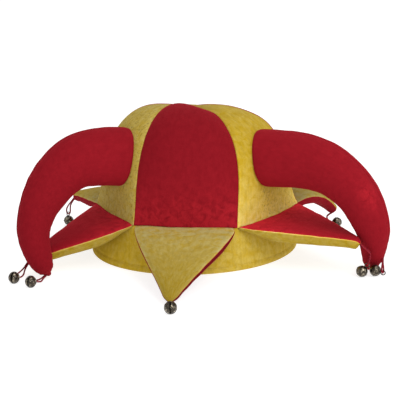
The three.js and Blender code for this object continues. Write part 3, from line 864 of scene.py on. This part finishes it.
# A smooth line through points, at a share of the way from the first to the last
def smooth_line(points, share):
    spot = min(max(share, 0), 1) * (len(points) - 1)
    i = min(int(spot), len(points) - 2)
    b, c = points[i], points[i + 1]
    a = points[i - 1] if i > 0 else 2 * b - c
    d = points[i + 2] if i + 2 < len(points) else 2 * c - b
    before, between, after = (max(math.sqrt((q - p).length), SHORTEST_SPAN)
                              for p, q in ((a, b), (b, c), (c, d)))
    leave = ((b - a) / before - (c - a) / (before + between)) * between + (c - b)
    arrive = ((d - c) / after - (d - b) / (between + after)) * between + (c - b)
    t = spot - i
    return (b + leave * t + (3 * (c - b) - 2 * leave - arrive) * t ** 2
            + (2 * (b - c) + leave + arrive) * t ** 3)


# A horn's middle, its heading, the directions across its section, and its height at a share of its length
def horn_section(horn, along):
    to_front = outward(horn["azimuth"] + 90) * horn["front_side"]
    sections = [dict(zip(HORN_COLUMNS, section)) for section in horn["sections"]]
    middles = [polar(horn["azimuth"], section["out"] / 1000, section["height"] / 1000)
               + to_front * (section["fore"] / 1000) for section in sections]
    heights = [Vector((section["tall"] / 1000, 0, 0)) for section in sections]
    heading = smooth_line(middles, along + HORN_HEADING_STEP) - smooth_line(middles, along - HORN_HEADING_STEP)
    heading.normalize()
    side = outward(horn["azimuth"] + 90)
    side = (side - heading * side.dot(heading)).normalized()
    return smooth_line(middles, along), heading, side, heading.cross(side), smooth_line(heights, along).x


def sew_horn(horn):
    def surface(along, i):
        middle, heading, side, outer, tall = horn_section(horn, min(along, 1))
        turn = 2 * math.pi * i / HORN_STEPS_ROUND
        half = tall / 2
        if along > 1:
            beyond = (along - 1) / HORN_CAP
            middle = middle + heading * half * math.sin(beyond * math.pi / 2)
            half *= max(math.cos(beyond * math.pi / 2), HORN_CAP_END)
        from_seam = abs(math.remainder(turn - math.pi / 2, math.pi)) * half
        seam = roll_in(from_seam, min(HORN_SEAM_ROLL, HORN_SEAM_ROLL_SHARE * half))
        seed = horn["azimuth"] + math.copysign(HORN_SEAM_SEED, math.sin(turn))
        ripple = HORN_PUCKER_GAIN * pucker(along * HORN_LENGTH, from_seam, seed)
        round_turn = Vector((math.cos(turn), math.sin(turn), horn["azimuth"]))
        swell = HORN_SWELL * noise.noise(middle / HORN_SWELL_SIZE + round_turn)
        swell *= min(1, half / HORN_SWELL_FULL_AT)
        from_base = smooth_step(along, HORN_BASE_REACH)
        power = blend(HORN_BASE_SQUARENESS, 2, from_base)
        square = (abs(math.cos(turn)) ** power + abs(math.sin(turn)) ** power) ** (-1 / power)
        full = square + (ripple + swell - seam) / half
        lean = -math.sin(turn) * HORN_BASE_LEAN * horn["front_side"] * (1 - from_base)
        return (middle + side * (math.cos(turn) * half * HORN_WIDTH_TO_HEIGHT * full + lean)
                + outer * (math.sin(turn) * half * full))

    starts = [leaves_body(lambda along, i=i: surface(along, i)) for i in range(HORN_STEPS_ROUND)]
    stations = [(1 + HORN_CAP) * (i / HORN_STEPS_ALONG) ** HORN_STEPS_LOWNESS
                for i in range(HORN_STEPS_ALONG + 1)]

    def place(along, i):
        start = starts[i] + HORN_SEAM_GAP
        share = min(blend(start, 1, along), 1) if along <= 1 else along
        spot = surface(share, i)
        tuck = roll_in(along * (1 - start) * HORN_LENGTH, HORN_BASE_ROLL)
        middle = horn_section(horn, min(share, 1))[0]
        return spot + (middle - spot).normalized() * tuck

    mesh, number, nap, painted_light, _, cloth = start_cloth()
    rings = loft(mesh, number, HORN_STEPS_ROUND, stations, place)
    along_at = {vert: along * HORN_LENGTH for along, ring in zip(stations, rings) for vert in ring}
    cloth_start = horn["azimuth"] / HORN_CLOTH_DEGREES_PER_METRE
    lay_cloth(mesh, number, cloth, HORN_STEPS_ROUND,
              lambda turn: HORN_GIRTH * turn / HORN_STEPS_ROUND + cloth_start, along_at)
    for vert in mesh.verts:
        along = along_at[vert] / HORN_LENGTH
        # The nap rises in the painted highlight patch on the right horn's outer bend.
        from_highlight = Vector(((along - HORN_CREASE_HIGHLIGHT["along"]) / HORN_CREASE_HIGHLIGHT["length"],
                              (vert[number] / HORN_STEPS_ROUND - HORN_CREASE_HIGHLIGHT["turn"]) / HORN_CREASE_HIGHLIGHT["width"]))
        vert[nap] = HORN_NAP + horn["crease_highlight"] * math.exp(-from_highlight.length_squared)
        # Painted light and shade, changing from the crown to the end.
        vert[painted_light] = blend(*horn["painted_light"], smooth_step(along, HORN_PAINTED_LIGHT_REACH))
    bmesh.ops.holes_fill(mesh, edges=boundary(mesh), sides=0)
    bmesh.ops.recalc_face_normals(mesh, faces=mesh.faces)
    piece = add_piece(f"horn_{horn['name']}_stuffed", mesh, [velvets["red"]],
                      [f"horn_{horn['name']}"])
    middle, _, _, outer, tall = horn_section(horn, horn["cord_along"])
    return middle + outer * (tall / 2 - CORD_ROOT)


cord_exits.update({f"horn_{horn['name']}": sew_horn(horn) for horn in HORNS})


# Bells on cord loops: a jingle bell of darkened brass, two cups closed to a ball with a slot below and a wire
# eye above, is tied to every tip by a loop of thin maroon cord. Most tips are low, so their bells lie on the
# floor beside them, and two hang.
BELL_RADIUS = 0.005
BELL_WALL = 0.0006
BELL_RIDGE = 0.00028
BELL_RIDGE_ANGLE = 4
BELL_CUP_ANGLES = (4, 5, 10, 20, 32, 44, 56, 68, 80, 90)
BELL_STEPS_ROUND = 40
SLOT_WIDTH = 0.0014
SLOT_TOP = -0.0014
SLOT_SNAP = 0.000005
EYE_RADIUS = 0.0019
EYE_WIRE = 0.0005
EYE_WIRE_STEPS = 10
EYE_STEPS_ROUND = 28
EYE_HEIGHT = BELL_RADIUS + EYE_RADIUS
CORD_RADIUS = 0.0007
LOOP_HALF = 0.003
LOOP_ROOT_HALF = 0.0008
LOOP_OPENS_FROM = 0.4
LOOP_OPEN_AT = 0.95
LOOP_STRAND_SHARES = (0, 0.15, 0.35, 0.6, 0.85, 1)
LOOP_BOW_SHARES = (0.35, 0.7)
LOOP_LINE_STEPS = 200
LOOP_STEPS_PER_KNOT = 4
BELL_REST = 0.0003
# Azimuths in degrees, reaches from the hat's axis and heights in millimetres. A knee is the place where a loop
# bends on its way to the bell's eye, and dip says how steeply the eye points down.
LYING = [
    {"name": "point_front", "azimuth": 0.45, "reach": 191.6, "knee": (0.1, 178, 2), "dip": 0.32},
    {"name": "point_left_front", "azimuth": -50, "reach": 190, "knee": (-52.5, 180, 5), "dip": 0.32},
    {"name": "horn_left", "azimuth": -44, "reach": 184, "knee": (-46, 172, 2), "dip": 0.32},
    {"name": "horn_right", "azimuth": 60, "reach": 190.5, "knee": (60.4, 196.7, 8), "dip": 0.2},
    {"name": "point_right_front", "azimuth": 57.5, "reach": 182, "knee": (58.6, 188, 21), "dip": -1.2},
    {"name": "point_right_back", "azimuth": 112.76, "reach": 145.5, "knee": (114.4, 136.4, 11), "dip": 0.32},
]
HANGING = [
    {"name": "point_back", "eye": (180, 168, 12), "knee": (180, 167.8, 19.6)},
    {"name": "point_left_back", "eye": (-113.6, 153.8, 12.3), "knee": (-114.2, 153.4, 20)},
]
UP = Vector((0, 0, 1))


def make_brass():
    material, tree, shader = start_material("antique_brass")
    coords = add_node(tree, "ShaderNodeTexCoord").outputs["Object"]
    patina_and_glints = add_noise(tree, Vector=coords, Scale=420, Detail=6, Roughness=0.65)
    # The noise darkens the brass with patina in places and at its top stop paints bright spots: polished wear
    # as well as painted highlights in place of glints.
    colour = add_ramp(tree, patina_and_glints, [(0.3, (0.016, 0.012, 0.009)), (0.52, (0.060, 0.048, 0.034)),
                                    (0.68, (0.44, 0.38, 0.27))])
    set_inputs(tree, shader, Base_Color=colour, Roughness=map_range(tree, patina_and_glints, (0, 1), (0.36, 0.16)),
               Metallic=1, Coat_Weight=0.35, Coat_Roughness=0.1)
    return material


def make_cord_cotton():
    material, tree, shader = start_material("maroon_cord")
    coords = add_node(tree, "ShaderNodeTexCoord").outputs["Object"]
    twist = add_node(tree, "ShaderNodeTexWave", {"bands_direction": "DIAGONAL"}, Vector=coords, Scale=260,
                     Distortion=3, Detail=2).outputs["Fac"]
    colour = add_ramp(tree, twist, [(0.1, (0.10, 0.007, 0.012)), (0.9, (0.31, 0.024, 0.036))])
    bump = add_node(tree, "ShaderNodeBump", Height=twist, Strength=0.6, Distance=0.0003)
    set_inputs(tree, shader, Base_Color=colour, Normal=bump.outputs["Normal"], Roughness=1,
               Specular_IOR_Level=0)
    return material


brass = make_brass()
cord_cotton = make_cord_cotton()


# One bell in its own frame, the eye on +Z and the slot across -Z
def bell_shape():
    mesh = bmesh.new()
    outline = []
    for angle in [-angle for angle in reversed(BELL_CUP_ANGLES)] + list(BELL_CUP_ANGLES):
        radius = BELL_RADIUS + (BELL_RIDGE if abs(angle) <= BELL_RIDGE_ANGLE else 0)
        turn = math.radians(angle)
        outline.append(mesh.verts.new((radius * math.cos(turn), 0, radius * math.sin(turn))))
    edges = [mesh.edges.new(pair) for pair in zip(outline, outline[1:])]
    bmesh.ops.spin(mesh, geom=outline + edges, axis=UP, cent=(0, 0, 0), steps=BELL_STEPS_ROUND,
                   angle=2 * math.pi, use_merge=True)
    bmesh.ops.remove_doubles(mesh, verts=mesh.verts, dist=MERGE_DISTANCE)
    for place, facing in (((SLOT_WIDTH / 2, 0, 0), (1, 0, 0)), ((-SLOT_WIDTH / 2, 0, 0), (1, 0, 0)),
                          ((0, 0, SLOT_TOP), (0, 0, 1))):
        bmesh.ops.bisect_plane(mesh, geom=mesh.verts[:] + mesh.edges[:] + mesh.faces[:], plane_co=place,
                               plane_no=facing, dist=SLOT_SNAP)
    slot = [face for face in mesh.faces if abs(face.calc_center_median().x) < SLOT_WIDTH / 2
            and face.calc_center_median().z < SLOT_TOP]
    bmesh.ops.delete(mesh, geom=slot, context="FACES")
    bmesh.ops.recalc_face_normals(mesh, faces=mesh.faces)
    if sum(face.normal.dot(face.calc_center_median()) for face in mesh.faces) < 0:
        bmesh.ops.reverse_faces(mesh, faces=mesh.faces)
    bmesh.ops.solidify(mesh, geom=mesh.faces[:], thickness=BELL_WALL)
    wire = bmesh.ops.create_circle(mesh, segments=EYE_WIRE_STEPS, radius=EYE_WIRE)["verts"]
    bmesh.ops.rotate(mesh, verts=wire, cent=(0, 0, 0), matrix=Matrix.Rotation(math.radians(90), 3, "Y"))
    bmesh.ops.translate(mesh, verts=wire, vec=(0, 0, EYE_HEIGHT + EYE_RADIUS))
    wire_edges = list(dict.fromkeys(edge for vert in wire for edge in vert.link_edges))
    bmesh.ops.spin(mesh, geom=wire + wire_edges, axis=(1, 0, 0), cent=(0, 0, EYE_HEIGHT),
                   steps=EYE_STEPS_ROUND, angle=2 * math.pi, use_merge=True)
    return mesh


# The loop: two strands that leave the tip side by side, spread, and meet round the bell's eye
def loop_route(start, knee, end):
    side = UP.cross(end - knee).normalized()
    line = [smooth_line([start, knee, end], i / LOOP_LINE_STEPS) for i in range(LOOP_LINE_STEPS + 1)]
    run = [0]
    for before, after in zip(line, line[1:]):
        run.append(run[-1] + (after - before).length)

    def spot(share, spread):
        reach = share * run[-1]
        i = next((k for k in range(LOOP_LINE_STEPS) if run[k + 1] >= reach), LOOP_LINE_STEPS - 1)
        return line[i].lerp(line[i + 1], (reach - run[i]) / (run[i + 1] - run[i])) + side * spread

    straight = 1 - LOOP_HALF / run[-1]
    strand = []
    for share in LOOP_STRAND_SHARES:
        opened = smooth_step(share - LOOP_OPENS_FROM, LOOP_OPEN_AT - LOOP_OPENS_FROM)
        strand.append((share * straight, blend(LOOP_ROOT_HALF, LOOP_HALF, opened)))
    for share in LOOP_BOW_SHARES:
        turn = share * math.pi / 2
        strand.append((straight + (1 - straight) * math.sin(turn), LOOP_HALF * math.cos(turn)))
    there = [spot(along, spread) for along, spread in strand]
    back = [spot(along, -spread) for along, spread in reversed(strand)]
    return there + [spot(1, 0)] + back


def add_drop(name, knee, eye, eye_way):
    knots = loop_route(cord_exits[name], knee, eye)
    count = LOOP_STEPS_PER_KNOT * (len(knots) - 1)
    route = [smooth_line(knots, i / count) for i in range(count + 1)]
    through = route[count // 2 + 1] - route[count // 2 - 1]
    through = (through - eye_way * through.dot(eye_way)).normalized()
    turned = Matrix((through, eye_way.cross(through), eye_way)).transposed().to_4x4()
    mesh = bell_shape()
    mesh.transform(Matrix.Translation(eye - eye_way * EYE_HEIGHT) @ turned)
    bell = add_piece(f"jingle_bell_{name}", mesh, [brass], [f"bell_{name}"])
    data = bpy.data.curves.new(f"cord_loop_{name}", "CURVE")
    data.dimensions = "3D"
    data.bevel_depth = CORD_RADIUS
    data.bevel_resolution = 3
    data.use_fill_caps = True
    spline = data.splines.new("POLY")
    spline.points.add(count)
    for point, place in zip(spline.points, route):
        point.co = (*place, 1)
    data.materials.append(cord_cotton)
    cord = add_object(f"cord_loop_{name}", data)
    stand_for(cord, [f"cord_{name}"])
    length = sum((after - before).length for before, after in zip(route, route[1:]))
    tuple(route[0])


def drop_place(azimuth, reach, height):
    return polar(azimuth, reach / 1000, height / 1000)


for row in LYING:
    centre = polar(row["azimuth"], row["reach"] / 1000, BELL_RADIUS + BELL_REST)
    knee = drop_place(*row["knee"])
    way = (knee - centre).xy.to_3d().normalized() - UP * row["dip"]
    way.normalize()
    add_drop(row["name"], knee, centre + way * EYE_HEIGHT, way)

for row in HANGING:
    add_drop(row["name"], drop_place(*row["knee"]), drop_place(*row["eye"]), UP)


# Studio: a pale floor that runs out of sight, soft light from all round with a broad key from the upper right,
# and a camera a metre away, a little above the hat and to the right of its front.
CAMERA_AZIMUTH = 7.224
CAMERA_ELEVATION = 14.647
CAMERA_ROLL = -1.864
CAMERA_DISTANCE = 1.0005
CAMERA_TARGET = hat_axis + Vector((0, 0, 0.040))
CAMERA_LENS = 94.37
CAMERA_SENSOR = 36
CAMERA_SHIFT = (0.01046, 0.00747)
FLOOR_RADIUS = 14
FLOOR_STEPS_ROUND = 96
SKY_STRENGTH = 0.62
LIGHTS = [
    {"name": "key", "azimuth": 40, "elevation": 36, "distance": 1.8, "size": 0.9, "power": 11},
    {"name": "front", "azimuth": 5, "elevation": 21, "distance": 2.0, "size": 0.25, "power": 4.2},
    {"name": "top", "azimuth": 50, "elevation": 78, "distance": 1.6, "size": 1.0, "power": 6},
    {"name": "low_right", "azimuth": 72, "elevation": 9, "distance": 1.6, "size": 0.8, "power": 4},
]

camera = add_object("camera", bpy.data.cameras.new("camera"))
camera.data.lens = CAMERA_LENS
camera.data.sensor_width = CAMERA_SENSOR
camera.data.shift_x, camera.data.shift_y = CAMERA_SHIFT
camera_turn = (Matrix.Rotation(math.radians(CAMERA_AZIMUTH), 3, "Z")
               @ Matrix.Rotation(math.radians(90 - CAMERA_ELEVATION), 3, "X")
               @ Matrix.Rotation(math.radians(CAMERA_ROLL), 3, "Z"))
camera.matrix_world = (Matrix.Translation(CAMERA_TARGET + camera_turn @ Vector((0, 0, CAMERA_DISTANCE)))
                       @ camera_turn.to_4x4())
bpy.context.scene.camera = camera

floor_mesh = bmesh.new()
bmesh.ops.create_circle(floor_mesh, cap_ends=True, segments=FLOOR_STEPS_ROUND, radius=FLOOR_RADIUS)
floor_data = bpy.data.meshes.new("floor")
floor_mesh.to_mesh(floor_data)
floor_mesh.free()
add_object("floor", floor_data)
floor_paint, floor_tree, floor_shader = start_material("floor_paint")
set_inputs(floor_tree, floor_shader, Base_Color=(0.45, 0.45, 0.45, 1), Emission_Color=(1, 1, 1, 1),
           Emission_Strength=0.76, Roughness=0.9, Specular_IOR_Level=0.1)
floor_data.materials.append(floor_paint)

for row in LIGHTS:
    lamp = add_object(row["name"], bpy.data.lights.new(row["name"], "AREA"))
    lamp.data.size = row["size"]
    lamp.data.energy = row["power"]
    rise = math.radians(row["elevation"])
    towards = outward(row["azimuth"]) * math.cos(rise) + UP * math.sin(rise)
    lamp.matrix_world = (Matrix.Translation(CAMERA_TARGET + towards * row["distance"])
                         @ towards.to_track_quat("Z", "Y").to_matrix().to_4x4())

sky = bpy.data.worlds.new("studio")
sky.use_nodes = True
set_inputs(sky.node_tree, sky.node_tree.nodes["Background"], Color=(1, 1, 1, 1), Strength=SKY_STRENGTH)
bpy.context.scene.world = sky
bpy.context.scene.view_settings.view_transform = "Standard"
